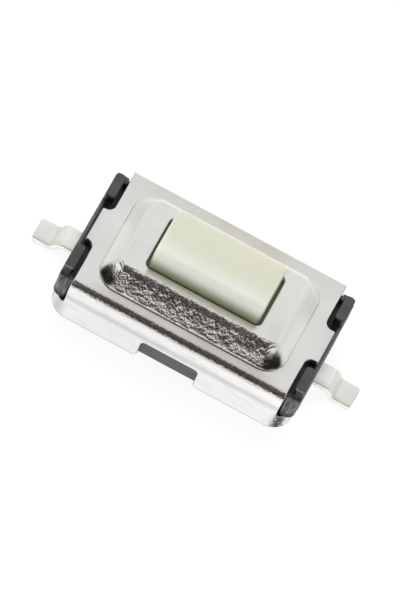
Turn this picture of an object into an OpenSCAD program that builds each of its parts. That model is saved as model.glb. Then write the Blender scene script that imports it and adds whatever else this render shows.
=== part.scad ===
// Low surface-mount push button switch, 3 by 6 by 2.5 mm, with a stamped cover over a moulded base.
// X runs along the body, Y across it, Z up from the solder faces of the two leads.

/* [Body] */
// Length of the base between its end faces
base_l = 6; // [5.6:0.1:7]
// Width over the cover's two skirts
cover_w = 3.5; // [3.3:0.1:4.2]
// Height of the cover's plate above the board
plate_z = 1.36; // [1.3:0.02:1.6]
// Gap between the board and the underside of base and skirts
standoff = 0.08; // [0.02:0.01:0.14]
// Gap left between parts that seat on each other
seat_gap = 0.01; // [0.005:0.005:0.03]

/* [Cover sheet] */
// Thickness of the sheet
sheet_t = 0.15; // [0.1:0.01:0.2]
// Inside radius of the two long bends between plate and skirts
bend_inner_r = 0.07; // [0.03:0.01:0.15]
// Inside radius of the upright corners that the skirts wrap round
wrap_inner_r = 0.35; // [0.2:0.05:0.5]
// How far the wrapped corners stand back from the base's end faces
wrap_inset = 0.03; // [0.01:0.01:0.06]
// Height of the wrapped corners' top edge
wrap_z = 0.55; // [0.45:0.05:0.8]
// Open stretch of each end between the two wrapped tabs
end_open_w = 2; // [1.4:0.1:2.3]
// How far the plate's ends stand back from the base's end faces
plate_inset = 0.12; // [0.06:0.01:0.16]

/* [Cover notches] */
// How far the corner notches reach in from the base's end faces
notch_depth = 0.345; // [0.3:0.01:0.45]
// Width of the plate's tongue between two corner notches
tongue_w = 0.95; // [0.8:0.05:1.2]
// Radius at the inner corner of a corner notch
notch_r = 0.14; // [0.05:0.01:0.2]
// Radius at the foot of the notch, where the skirt steps down to the wrapped corner
notch_foot_r = 0.08; // [0.03:0.01:0.15]
// Width of the notch in the middle of each skirt
skirt_notch_w = 1.4; // [0.8:0.1:2.4]
// Height of that notch's top edge
skirt_notch_z = 0.69; // [0.4:0.01:0.9]
// Radius of that notch's upper corners, and of the skirt's corners beside it
skirt_notch_r = 0.1; // [0.04:0.01:0.15]

/* [Raised plateau] */
// Length of the plateau at its foot
plateau_l = 4.62; // [4.3:0.02:4.8]
// Width of the plateau at its foot
plateau_w = 2.76; // [2.5:0.02:2.8]
// Height of the plateau's flat top above the board
plateau_z = 1.9; // [1.8:0.02:2.1]
// Slope of the plateau's sides from level
plateau_slope = 60; // [56:1:76]
// Corner radius of the plateau's flat top
crown_corner_r = 0.11; // [0.05:0.01:0.3]
// Inside radius of the bend round the plateau's flat top
crown_inner_r = 0.05; // [0.03:0.01:0.1]
// Radius of the crease at the plateau's foot
foot_r = 0.03; // [0.02:0.01:0.08]

/* [Window and button] */
// Length of the window in the plateau
window_l = 2.86; // [2.6:0.02:3.1]
// Width of the window in the plateau
window_w = 1.5; // [1.3:0.02:1.6]
// Corner radius of the window
window_r = 0.14; // [0.1:0.01:0.2]
// Gap between the window's edge and the button
button_gap = 0.07; // [0.04:0.01:0.09]
// Height of the button's top above the board
button_z = 2.5; // [2.3:0.05:3]
// Rounding of the button's two short top edges
button_edge_r = 0.05; // [0.02:0.01:0.06]
// Rounding of the button's two long top edges
button_long_r = 0.14; // [0.06:0.01:0.2]
// Gap between the button's flange and the plateau's sides
flange_gap = 0.08; // [0.05:0.01:0.12]
// Diameter of the plunger under the flange
plunger_d = 0.9; // [0.6:0.05:1.2]

/* [Travel] */
// How far the button goes down
travel = 0.25; // [0.2:0.01:0.3]
// Air left under the flange when the button is down
down_gap = 0.02; // [0.01:0.01:0.04]
// Play between the plunger and the film
plunger_gap = 0.01; // [0.005:0.005:0.02]

/* [Base] */
// Gap between the cover's cut edges and the base's shoulders beside them
edge_gap = 0.03; // [0.01:0.01:0.05]
// How far the base's corner blocks stand back from the outside of the skirts
corner_inset = 0.12; // [0.03:0.01:0.14]
// Upright corner radius of the corner blocks
corner_r = 0.2; // [0.05:0.01:0.3]
// Width of the bevel on the corner blocks
bevel_w = 0.19; // [0.1:0.01:0.25]
// Height of that bevel
bevel_h = 0.28; // [0.15:0.01:0.35]
// Height of the four posts above the plate
post_rise = 0.11; // [0.05:0.01:0.2]
// Thickness of a post, along the body
post_t = 0.24; // [0.16:0.01:0.26]
// Width of a post, across the body
post_w = 0.71; // [0.4:0.01:0.75]
// Distance between two posts at one end
post_space = 1.46; // [1.3:0.02:1.6]
// Upright corner radius of a post
post_corner_r = 0.08; // [0.05:0.01:0.08]
// Rounding of a post's top edges
post_edge_r = 0.04; // [0.02:0.01:0.05]
// Diameter of the two holes where the mould's pins held the strips
pin_hole_d = 0.5; // [0.3:0.05:0.55]
// Distance of those holes from the base's end faces
pin_hole_inset = 0.5; // [0.4:0.05:0.6]

/* [Leads] */
// Distance over the toes of the two leads
lead_span = 8; // [7.6:0.1:8.6]
// Width of a lead
lead_w = 0.59; // [0.4:0.01:0.7]
// Thickness of a lead
lead_t = 0.14; // [0.1:0.01:0.16]
// Length of a lead's flat foot
lead_foot = 0.4; // [0.3:0.05:0.5]
// Height of a lead's underside where it leaves the base
lead_rise = 0.24; // [0.2:0.01:0.3]
// Inside radius of the leads' bends
lead_bend_r = 0.1; // [0.05:0.01:0.14]
// Steepest slope of a bent lead
lead_turn = 72; // [60:1:85]
// Gap between the moulded base and the strips in it
mould_gap = 0.005; // [0.002:0.001:0.01]

/* [Contacts] */
// Diameter of the snap dome
dome_d = 2.5; // [2.2:0.05:2.6]
// Thickness of the snap dome
dome_t = 0.06; // [0.04:0.01:0.08]
// Gap between the snap dome and the film over it
dome_gap = 0.02; // [0.01:0.01:0.04]
// Gap between the snap dome and the wall of its well
well_gap = 0.05; // [0.03:0.01:0.08]
// Thickness of the film over the dome
film_t = 0.05; // [0.03:0.01:0.08]
// Length of the film
film_l = 3.4; // [3:0.1:3.8]
// Width of the film
film_w = 2.8; // [2.75:0.05:2.9]
// Corner radius of the film
film_r = 0.3; // [0.1:0.05:0.5]
// Length of the centre contact's pad
pad_l = 0.6; // [0.4:0.05:0.8]
// Width of each arm of the forked rim contact
arm_w = 0.4; // [0.25:0.05:0.45]
// How far the fork's arms reach past the dome's centre
arm_reach = 0.9; // [0.7:0.05:1]
// Length of the fork's cross bar, along the body
bar_l = 0.35; // [0.25:0.05:0.45]

/* [Hidden] */
$fn = 96;

cover_colour = [0.86, 0.86, 0.84];
base_colour = [0.2, 0.2, 0.21];
button_colour = [0.87, 0.89, 0.77];
dome_colour = [0.75, 0.75, 0.76];
film_colour = [0.8, 0.5, 0.15];
lead_colour = [0.82, 0.83, 0.77];

// Flat steps in each bend of a lead
bend_steps = 8;

// Half sizes of the body and the levels that the parts share
end_x = base_l / 2;
skirt_y = cover_w / 2;
sheet_under = plate_z - sheet_t;
base_top = sheet_under - seat_gap;
past = 1;

// Cover
wrap_x = end_x - wrap_inset;
wrap_outer_r = wrap_inner_r + sheet_t;
bend_outer_r = bend_inner_r + sheet_t;
notch_x = end_x - notch_depth;
plate_x = end_x - plate_inset;

// Plateau: its outer skin, and its inner skin one sheet further in
crown_outer_r = crown_inner_r + sheet_t;
crown_tangent = crown_outer_r * tan(plateau_slope / 2);
plateau_foot_corner = crown_corner_r + crown_tangent + (plateau_z - plate_z) / tan(plateau_slope);
plateau_axis_x = plateau_l / 2 - plateau_foot_corner;
plateau_axis_y = plateau_w / 2 - plateau_foot_corner;
plateau_under = plateau_z - sheet_t;
crown_x = plateau_axis_x + crown_corner_r;
crown_y = plateau_axis_y + crown_corner_r;

// Button
button_x = window_l / 2 - button_gap;
button_y = window_w / 2 - button_gap;
button_corner_r = window_r - button_gap;
flange_x = crown_x - flange_gap;
flange_y = crown_y - flange_gap;
flange_top = plateau_under - seat_gap;
flange_low = base_top + travel + down_gap;

// Film, dome and contacts, from the top down
film_top = base_top - seat_gap;
film_low = film_top - film_t;
film_seat = film_low - seat_gap;
plunger_low = film_top + plunger_gap;
dome_top = film_seat - dome_gap;
dome_drop = travel - plunger_gap - dome_gap - seat_gap;
dome_low = dome_top - dome_t - dome_drop;
contact_z = dome_low - seat_gap;
dome_r = dome_d / 2;
dome_under_r = (dome_r * dome_r + dome_drop * dome_drop) / (2 * dome_drop);
dome_axis_z = dome_low + dome_drop - dome_under_r;
well_r = dome_r + well_gap;

// Leads
strip_mid_r = lead_bend_r + lead_t / 2;
inner_rise = contact_z - lead_t - lead_rise;
foot_x = lead_span / 2 - lead_foot;
bar_x = well_r + bar_l;
rim_step_x = bar_x + step_run(inner_rise);
centre_step_x = pad_l / 2 + step_run(inner_rise);
arm_y = dome_r * 0.95;

// A size to the nearest ten-thousandth, so that shapes placed side by side meet exactly
function fine(size) = round(size * 10000) / 10000;

// Bend angle of a strip that steps up by rise: less than lead_turn where the step is low
function step_turn(rise) = min(lead_turn, acos(max(-1, 1 - rise / (2 * strip_mid_r))));
// Straight length between the two bends of such a step
function step_ramp(rise) =
    (rise - 2 * strip_mid_r * (1 - cos(step_turn(rise)))) / sin(step_turn(rise));
// Length that the step takes along the body
function step_run(rise) =
    2 * strip_mid_r * sin(step_turn(rise)) + step_ramp(rise) * cos(step_turn(rise));

// Rectangle with round corners, from its half sizes
module round_rect(half_l, half_w, r) {
    square([2 * (half_l - r), 2 * half_w], center = true);
    square([2 * half_l, 2 * (half_w - r)], center = true);
    for (sx = [-1, 1], sy = [-1, 1])
        translate([sx * (half_l - r), sy * (half_w - r)]) circle(r);
}

// Section with a flat top and two round shoulders, drawn across the body
module bent_section(half_w, low, high, r) {
    translate([-half_w, low]) square([2 * half_w, high - r - low]);
    translate([r - half_w, low]) square([2 * (half_w - r), high - low]);
    for (side = [-1, 1])
        translate([side * (half_w - r), high - r]) circle(r);
}

// Lays a section drawn across the body along it, over the length from -half_l to half_l
module along_body(half_l) {
    translate([-half_l, 0, 0]) rotate([90, 0, 90]) linear_extrude(2 * half_l) children();
}

// Lays a section drawn along the body across it, over the width from -half_w to half_w
module across_body(half_w) {
    translate([0, half_w, 0]) rotate([90, 0, 0]) linear_extrude(2 * half_w) children();
}

// Repeats a shape in all four corners
module in_corners() {
    for (mx = [0, 1], my = [0, 1])
        mirror([mx, 0, 0]) mirror([0, my, 0]) children();
}

// Edge section of a raised block, from its corner axis out: a side that slopes in, a round top edge and,
// where hollow_r is given, a round crease at the foot
module edge_section(corner_r, low, high, slope, top_r, hollow_r = 0) {
    tangent = top_r * tan(slope / 2);
    edge_r = corner_r + tangent;
    foot = edge_r + (high - low) / tan(slope);
    centre = [corner_r, high - top_r];
    touch = centre + top_r * [sin(slope), cos(slope)];
    polygon([[0, low], [foot, low], touch, centre, [corner_r, high], [0, high]]);
    intersection() {
        translate(centre) circle(top_r);
        polygon([centre, touch, [edge_r, high], [corner_r, high]]);
    }
    if (hollow_r > 0) {
        hollow = [foot + hollow_r * tan(slope / 2), low + hollow_r];
        difference() {
            polygon([[foot, low], [hollow[0], low], hollow, hollow - hollow_r * [sin(slope), cos(slope)]]);
            translate(hollow) circle(hollow_r);
        }
    }
}

// Carries an edge section round the rectangle of its four corner axes
module edged_block(axis_x, axis_y, low, high) {
    x = fine(axis_x);
    y = fine(axis_y);
    translate([-x, -y, low]) cube([2 * x, 2 * y, high - low]);
    for (turn = [0, 180]) rotate([0, 0, turn]) {
        translate([x, y, 0]) rotate_extrude(angle = 90) children();
        translate([-x, y, 0]) rotate([0, 0, 90]) rotate_extrude(angle = 90) children();
        translate([-x, y, 0]) rotate([90, 0, 90]) linear_extrude(2 * x) children();
        translate([x, y, 0]) rotate([90, 0, 0]) linear_extrude(2 * y) children();
    }
}

// One skin of the cover: the bent section along the body, cut to the round plan, with the plateau on top
module cover_skin(inset, low) {
    intersection() {
        along_body(end_x) bent_section(skirt_y - inset, low, plate_z - inset, bend_outer_r - inset);
        translate([0, 0, low])
            linear_extrude(plate_z - low) round_rect(wrap_x - inset, skirt_y - inset, wrap_outer_r - inset);
    }
    edged_block(plateau_axis_x, plateau_axis_y, plate_z - inset, plateau_z - inset)
        edge_section(crown_corner_r, plate_z - inset, plateau_z - inset, plateau_slope,
                     crown_outer_r - inset, foot_r + inset);
}

// Open corner of the cover, seen from the side: it starts at reach and its foot is round
module notch_side(reach, foot, r) {
    translate([reach + r, foot]) square([past, past + plate_z]);
    translate([reach, foot + r]) square([past, past + plate_z]);
    translate([reach + r, foot + r]) circle(r);
}

// Open corner of the cover, seen from above, with the notch's round inner corner
module notch_plan(reach, side, r) {
    translate([reach + r, side]) square([past, past + skirt_y]);
    translate([reach, side + r]) square([past, past + skirt_y]);
    translate([reach + r, side + r]) circle(r);
}

module corner_notch() {
    intersection() {
        across_body(skirt_y + past) notch_side(notch_x, wrap_z, notch_foot_r);
        linear_extrude(plate_z + past) notch_plan(notch_x, tongue_w / 2, notch_r);
    }
}

// Clears the end under the plate's tongue, and what stands out past the tongue
module end_opening() {
    for (side = [0, 1]) mirror([side, 0, 0]) {
        translate([wrap_x - wrap_outer_r, -end_open_w / 2, 0]) cube([past, end_open_w, sheet_under]);
        translate([plate_x, -tongue_w / 2 - past, wrap_z]) cube([past, tongue_w + 2 * past, plate_z]);
    }
}

// Notch in a skirt's lower edge: round upper corners, and round corners of the skirt on both sides
module skirt_notch_side() {
    r = skirt_notch_r;
    half_w = skirt_notch_w / 2;
    translate([-half_w, standoff - past]) square([2 * half_w, skirt_notch_z - r - standoff + past]);
    translate([r - half_w, standoff]) square([2 * (half_w - r), skirt_notch_z - standoff]);
    for (side = [-1, 1]) {
        translate([side * (half_w - r), skirt_notch_z - r]) circle(r);
        difference() {
            translate([side * (half_w + r / 2) - r / 2, standoff - past]) square([r, r + past]);
            translate([side * (half_w + r), standoff + r]) circle(r);
        }
    }
}

module cover() {
    color(cover_colour) difference() {
        cover_skin(0, standoff);
        cover_skin(sheet_t, standoff - past);
        in_corners() corner_notch();
        end_opening();
        across_body(skirt_y + past) skirt_notch_side();
        translate([0, 0, plate_z]) linear_extrude(plateau_z)
            round_rect(window_l / 2, window_w / 2, window_r);
    }
}

// Corner block of the base that fills a notch of the cover, bevelled towards the skirt
module base_corner() {
    corner_y = skirt_y - corner_inset;
    inner_x = notch_x + edge_gap;
    intersection() {
        linear_extrude(base_top) round_rect(end_x, corner_y, corner_r);
        translate([inner_x, 0, 0]) rotate([90, 0, 90]) linear_extrude(past)
            polygon([
                [0, wrap_z + edge_gap], [corner_y, wrap_z + edge_gap], [corner_y, base_top - bevel_h],
                [corner_y - bevel_w, base_top], [0, base_top]
            ]);
    }
}

module post() {
    half_t = post_t / 2;
    half_w = post_w / 2;
    translate([end_x - seat_gap - half_t, post_space / 2 + half_w, 0])
        edged_block(half_t - post_corner_r, half_w - post_corner_r, base_top - seat_gap, plate_z + post_rise)
            edge_section(post_corner_r - post_edge_r, base_top - seat_gap, plate_z + post_rise, 90, post_edge_r);
}

module base_form() {
    inside_x = wrap_x - sheet_t - seat_gap;
    inside_y = skirt_y - sheet_t - seat_gap;
    middle_y = end_open_w / 2 - edge_gap;
    intersection() {
        along_body(end_x) bent_section(inside_y, standoff, base_top, bend_inner_r);
        linear_extrude(plate_z) round_rect(inside_x, inside_y, wrap_inner_r);
    }
    translate([-end_x, -middle_y, standoff]) cube([2 * end_x, 2 * middle_y, base_top - standoff]);
    in_corners() {
        base_corner();
        post();
    }
}

module base() {
    color(base_colour) difference() {
        base_form();
        translate([0, 0, contact_z]) cylinder(r = well_r, h = past);
        translate([0, 0, film_seat])
            linear_extrude(past) round_rect(film_l / 2 + well_gap, film_w / 2 + well_gap, film_r + well_gap);
        centre_strip(mould_gap);
        rim_strip(mould_gap);
        for (side = [-1, 1])
            translate([side * (end_x - pin_hole_inset), 0, standoff - past])
                cylinder(d = pin_hole_d, h = past + lead_rise + lead_t / 2 - standoff);
    }
}

module button() {
    color(button_colour) {
        intersection() {
            edged_block(button_x - button_corner_r, button_y - button_corner_r, flange_low, button_z)
                edge_section(button_corner_r - button_edge_r, flange_low, button_z, 90, button_edge_r);
            along_body(end_x) bent_section(button_y, flange_low, button_z, button_long_r);
        }
        translate([0, 0, flange_low])
            linear_extrude(flange_top - flange_low) round_rect(flange_x, flange_y, crown_corner_r);
        translate([0, 0, plunger_low]) cylinder(d = plunger_d, h = flange_top - plunger_low);
    }
}

module contact_dome() {
    color(dome_colour) translate([0, 0, dome_axis_z]) rotate_extrude() intersection() {
        difference() {
            circle(dome_under_r + dome_t);
            circle(dome_under_r);
        }
        translate([0, dome_low - dome_axis_z]) square([dome_r, dome_drop + 2 * dome_t]);
    }
}

module dome_film() {
    color(film_colour) translate([0, 0, film_low])
        linear_extrude(film_t) round_rect(film_l / 2, film_w / 2, film_r);
}

// Points along an arc, from one angle to another
function arc(centre, r, from, to) =
    [for (i = [0:bend_steps])
        let (angle = from + (to - from) * i / bend_steps) centre + r * [cos(angle), sin(angle)]];

// One side of a strip that comes along -X and steps up by rise in two bends of the given radii
function step_side(x, z, rise, first_r, second_r) = concat(
    arc([x, z + lead_t + lead_bend_r], first_r, 270, 270 - step_turn(rise)),
    arc([x - step_run(rise), z + rise - lead_bend_r], second_r, 90 - step_turn(rise), 90)
);

// Section of a strip on the +X side, from its toe up through the base to the level of its contact
module strip_section(step_x, last_x, grow) {
    inner_r = lead_bend_r - grow;
    outer_r = lead_bend_r + lead_t + grow;
    toe_x = lead_span / 2 + grow;
    polygon(concat(
        [[toe_x, -grow]],
        step_side(foot_x, 0, lead_rise, outer_r, inner_r),
        step_side(step_x, lead_rise, inner_rise, outer_r, inner_r),
        [[last_x, contact_z - lead_t - grow], [last_x, contact_z + grow]],
        backwards(step_side(step_x, lead_rise, inner_rise, inner_r, outer_r)),
        backwards(step_side(foot_x, 0, lead_rise, inner_r, outer_r)),
        [[toe_x, lead_t + grow]]
    ));
}

function backwards(points) = [for (i = [len(points) - 1:-1:0]) points[i]];

module centre_strip(grow) {
    mirror([1, 0, 0]) across_body(lead_w / 2 + grow) strip_section(centre_step_x, -pad_l / 2 - grow, grow);
}

module rim_strip(grow) {
    across_body(lead_w / 2 + grow) strip_section(rim_step_x, bar_x - bar_l / 2, grow);
    translate([0, 0, contact_z - lead_t - grow]) linear_extrude(lead_t + 2 * grow) {
        translate([well_r - grow, -arm_y - grow]) square([bar_l + grow, 2 * (arm_y + grow)]);
        for (side = [0, 1]) mirror([0, side])
            translate([-arm_reach - grow, arm_y - arm_w - grow])
                square([arm_reach + bar_x + grow, arm_w + 2 * grow]);
    }
}

module centre_terminal() {
    color(lead_colour) centre_strip(0);
}

module rim_terminal() {
    color(lead_colour) rim_strip(0);
}

base();
cover();
button();
contact_dome();
dome_film();
centre_terminal();
rim_terminal();
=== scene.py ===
"""Looks of a low surface-mount push button switch: sheet cover, moulded base, resin button, plated leads."""

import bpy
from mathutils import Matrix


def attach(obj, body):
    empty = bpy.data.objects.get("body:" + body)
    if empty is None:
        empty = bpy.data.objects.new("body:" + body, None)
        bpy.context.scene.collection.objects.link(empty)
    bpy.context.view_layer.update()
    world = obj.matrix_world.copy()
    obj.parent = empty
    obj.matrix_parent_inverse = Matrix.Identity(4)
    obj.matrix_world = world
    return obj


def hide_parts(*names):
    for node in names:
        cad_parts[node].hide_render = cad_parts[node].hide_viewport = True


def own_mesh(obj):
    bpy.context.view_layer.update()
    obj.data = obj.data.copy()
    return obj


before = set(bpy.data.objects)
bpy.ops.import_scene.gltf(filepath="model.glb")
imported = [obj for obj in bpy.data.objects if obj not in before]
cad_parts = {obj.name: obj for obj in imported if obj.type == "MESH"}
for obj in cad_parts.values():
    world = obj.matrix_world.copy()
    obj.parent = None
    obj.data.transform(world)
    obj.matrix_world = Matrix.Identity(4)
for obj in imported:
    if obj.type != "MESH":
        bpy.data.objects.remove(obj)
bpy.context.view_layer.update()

import logging
import math
from dataclasses import dataclass, field
from enum import Enum

import bmesh
import bpy
import numpy as np
from mathutils import Matrix, Vector
from mathutils.geometry import delaunay_2d_cdt

LOG = logging.getLogger("switch")
MM = 0.001
CUT_EDGE = "cut_edge"
Setting = bool | float | str | list
Value = "float | tuple | Shade"
Colour = tuple[float, float, float, float]
Span = tuple[float, float]
Triple = tuple[float, float, float]


class Body(Enum):
    """The two bodies that pieces ride on."""

    FIXED = "switch_body"
    BUTTON = "push_button"


class Slot(Enum):
    """The record's material slots."""

    BASE = "base_plastic"
    COVER = "cover_sheet"
    BUTTON = "button_plastic"
    DOME = "dome_steel"
    FILM = "film"
    LEAD = "lead_plating"


# Shader expressions


class Shade:
    """A node's output that takes part in Python expressions on numbers."""

    def __init__(self, graph: "Graph", socket: bpy.types.NodeSocket) -> None:
        """Wraps an output socket.

        Args:
            graph: The graph that the socket belongs to.
            socket: The output socket.
        """
        self.graph = graph
        self.socket = socket

    def _math(self, operation: str, first: Value, second: Value) -> "Shade":
        """Adds a Math node.

        Args:
            operation: The node's operation.
            first: Its first value.
            second: Its second value.

        Returns:
            The node's output.
        """
        return self.graph.node("ShaderNodeMath", {"operation": operation}, {0: first, 1: second})

    def __add__(self, other: Value) -> "Shade":
        """Sum."""
        return self._math("ADD", self, other)

    def __radd__(self, other: Value) -> "Shade":
        """Sum with the number first."""
        return self._math("ADD", other, self)

    def __sub__(self, other: Value) -> "Shade":
        """Difference."""
        return self._math("SUBTRACT", self, other)

    def __rsub__(self, other: Value) -> "Shade":
        """Difference with the number first."""
        return self._math("SUBTRACT", other, self)

    def __mul__(self, other: Value) -> "Shade":
        """Product."""
        return self._math("MULTIPLY", self, other)

    def __rmul__(self, other: Value) -> "Shade":
        """Product with the number first."""
        return self._math("MULTIPLY", other, self)

    def __truediv__(self, other: Value) -> "Shade":
        """Quotient."""
        return self._math("DIVIDE", self, other)

    def __rtruediv__(self, other: Value) -> "Shade":
        """Quotient with the number first."""
        return self._math("DIVIDE", other, self)

    def __abs__(self) -> "Shade":
        """Absolute value."""
        return self._math("ABSOLUTE", self, 0.0)

    def least(self, other: Value) -> "Shade":
        """The smaller of the two."""
        return self._math("MINIMUM", self, other)

    def most(self, other: Value) -> "Shade":
        """The larger of the two."""
        return self._math("MAXIMUM", self, other)

    def step(self, low: float, high: float) -> "Shade":
        """A smooth rise from 0 at low to 1 at high; low may be the larger.

        Args:
            low: Where the rise starts.
            high: Where it ends.

        Returns:
            The mask from 0 to 1.
        """
        start, end, turned = (low, high, False) if low < high else (high, low, True)
        mask = self.graph.node(
            "ShaderNodeMapRange",
            {"interpolation_type": "SMOOTHSTEP"},
            {"Value": self, "From Min": start, "From Max": end},
        )
        return 1.0 - mask if turned else mask


class Graph:
    """A material's or world's node tree."""

    def __init__(self, tree: bpy.types.NodeTree) -> None:
        """Empties the tree.

        Args:
            tree: The node tree.
        """
        self.tree = tree
        tree.nodes.clear()

    def node(self, kind: str, settings: dict[str, Setting], inputs: dict, output: int | str = 0) -> Shade:
        """Adds a node.

        Args:
            kind: The node's type.
            settings: Its settings, set first; "stops" are a ramp's positions and colours.
            inputs: Values or outputs for its sockets, by name or number.
            output: The output that is wanted.

        Returns:
            That output.
        """
        made = self.tree.nodes.new(kind)
        for name, value in settings.items():
            if name == "stops":
                self._set_stops(made.color_ramp, value)
            else:
                setattr(made, name, value)
        for name, value in inputs.items():
            if isinstance(value, Shade):
                self.tree.links.new(value.socket, made.inputs[name])
            else:
                made.inputs[name].default_value = value
        return Shade(self, made.outputs[output]) if made.outputs else Shade(self, None)

    @staticmethod
    def _set_stops(ramp: bpy.types.ColorRamp, stops: list) -> None:
        """Sets a ramp's stops.

        Args:
            ramp: The ramp.
            stops: Pairs of position and colour.
        """
        while len(ramp.elements) < len(stops):
            ramp.elements.new(1.0)
        for element, (position, colour) in zip(ramp.elements, stops):
            element.position = position
            element.color = colour

    def blend(self, share: Value, first: Value, second: Value) -> Shade:
        """Mixes two colours.

        Args:
            share: Share of the second, from 0 to 1.
            first: The first colour.
            second: The second colour.

        Returns:
            The mixed colour.
        """
        return self.node("ShaderNodeMix", {"data_type": "RGBA"}, {0: share, 6: first, 7: second}, 2)

    def place(self) -> Shade:
        """The point in the part's frame, in millimetres."""
        point = self.node("ShaderNodeTexCoord", {}, {}, "Object")
        return self.node("ShaderNodeVectorMath", {"operation": "SCALE"}, {0: point, "Scale": 1 / MM})

    def split(self, vector: Shade) -> tuple[Shade, Shade, Shade]:
        """The three numbers of a vector."""
        node = self.node("ShaderNodeSeparateXYZ", {}, {0: vector}).socket.node
        return tuple(Shade(self, socket) for socket in node.outputs)

    def stretched(self, vector: Shade, factors: tuple[float, float, float]) -> Shade:
        """The vector with each of its numbers multiplied."""
        return self.node("ShaderNodeVectorMath", {"operation": "MULTIPLY"}, {0: vector, 1: factors})

    def grain(self, vector: Shade, scale: float, detail: float = 3.0, roughness: float = 0.5) -> Shade:
        """Noise from 0 to 1.

        Args:
            vector: Where the noise is read.
            scale: Features per millimetre.
            detail: Number of finer layers.
            roughness: Strength of each finer layer.

        Returns:
            The noise's value.
        """
        inputs = {"Vector": vector, "Scale": scale, "Detail": detail, "Roughness": roughness}
        return self.node("ShaderNodeTexNoise", {}, inputs)

    def relief(
        self, height: Shade, depth: float, strength: float = 1.0, normal: Shade | None = None
    ) -> Shade:
        """A bumped normal.

        Args:
            height: The height from 0 to 1.
            depth: What a height of 1 measures, in millimetres.
            strength: Share of the bump that is used.
            normal: The normal to start from, where it isn't the surface's own.

        Returns:
            The normal.
        """
        inputs = {"Height": height, "Distance": depth * MM, "Strength": strength}
        if normal is not None:
            inputs["Normal"] = normal
        return self.node("ShaderNodeBump", {}, inputs)


class Spot:
    """A surface point: its place in the part's frame, in millimetres, and its normal."""

    def __init__(self, graph: Graph) -> None:
        """Reads the point's place and normal.

        Args:
            graph: The material's graph.
        """
        self.place = graph.place()
        self.along, self.across, self.height = graph.split(self.place)
        self.far = abs(self.across)
        self.normal = graph.node("ShaderNodeNewGeometry", {}, {}, "Normal")
        self.sideways, self.back, self.up = graph.split(self.normal)
        self.aside = abs(self.sideways)


def grey(level: float) -> Colour:
    """A neutral colour."""
    return (level, level, level, 1.0)


class Finish:
    """A material built from nodes."""

    title = "finish"

    def surface(self, graph: Graph) -> dict:
        """The Principled shader's inputs. Each finish of the part has its own."""
        raise NotImplementedError

    def shader(self, graph: Graph) -> Shade:
        """The shader."""
        return graph.node("ShaderNodeBsdfPrincipled", {}, self.surface(graph))

    def material(self) -> bpy.types.Material:
        """Builds the material.

        Returns:
            The material.
        """
        made = bpy.data.materials.new(self.title)
        made.use_nodes = True
        graph = Graph(made.node_tree)
        graph.node("ShaderNodeOutputMaterial", {}, {"Surface": self.shader(graph)})
        return made


class Grains:
    """The sheet's noises, each from 0 to 1."""

    def __init__(self, graph: Graph, place: Shade) -> None:
        """Adds the noises.

        Args:
            graph: The material's graph.
            place: The point, in millimetres.
        """
        self.clouds = graph.grain(place, 0.8, 4.0, 0.55).step(0.4, 0.72)
        self.mottle = graph.grain(place, 5.0, 3.0, 0.6).step(0.42, 0.75)
        self.haze = graph.grain(place, 0.45, 2.0, 0.5).step(0.45, 0.7)
        self.patches = graph.grain(place, 3.2, 2.0, 0.6).step(0.4, 0.62)
        self.pits = graph.grain(graph.stretched(place, (1.8, 1.0, 1.0)), 20.0, 2.0, 0.6)
        self.lumps = graph.grain(graph.stretched(place, (2.0, 1.0, 1.0)), 11.0, 1.0, 0.5)
        self.painted_reflection_clouds = graph.grain(graph.stretched(place, (0.7, 1.0, 1.8)), 2.4, 4.0, 0.6)
        self.wave = graph.grain(place, 3.0, 2.0, 0.5)


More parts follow.
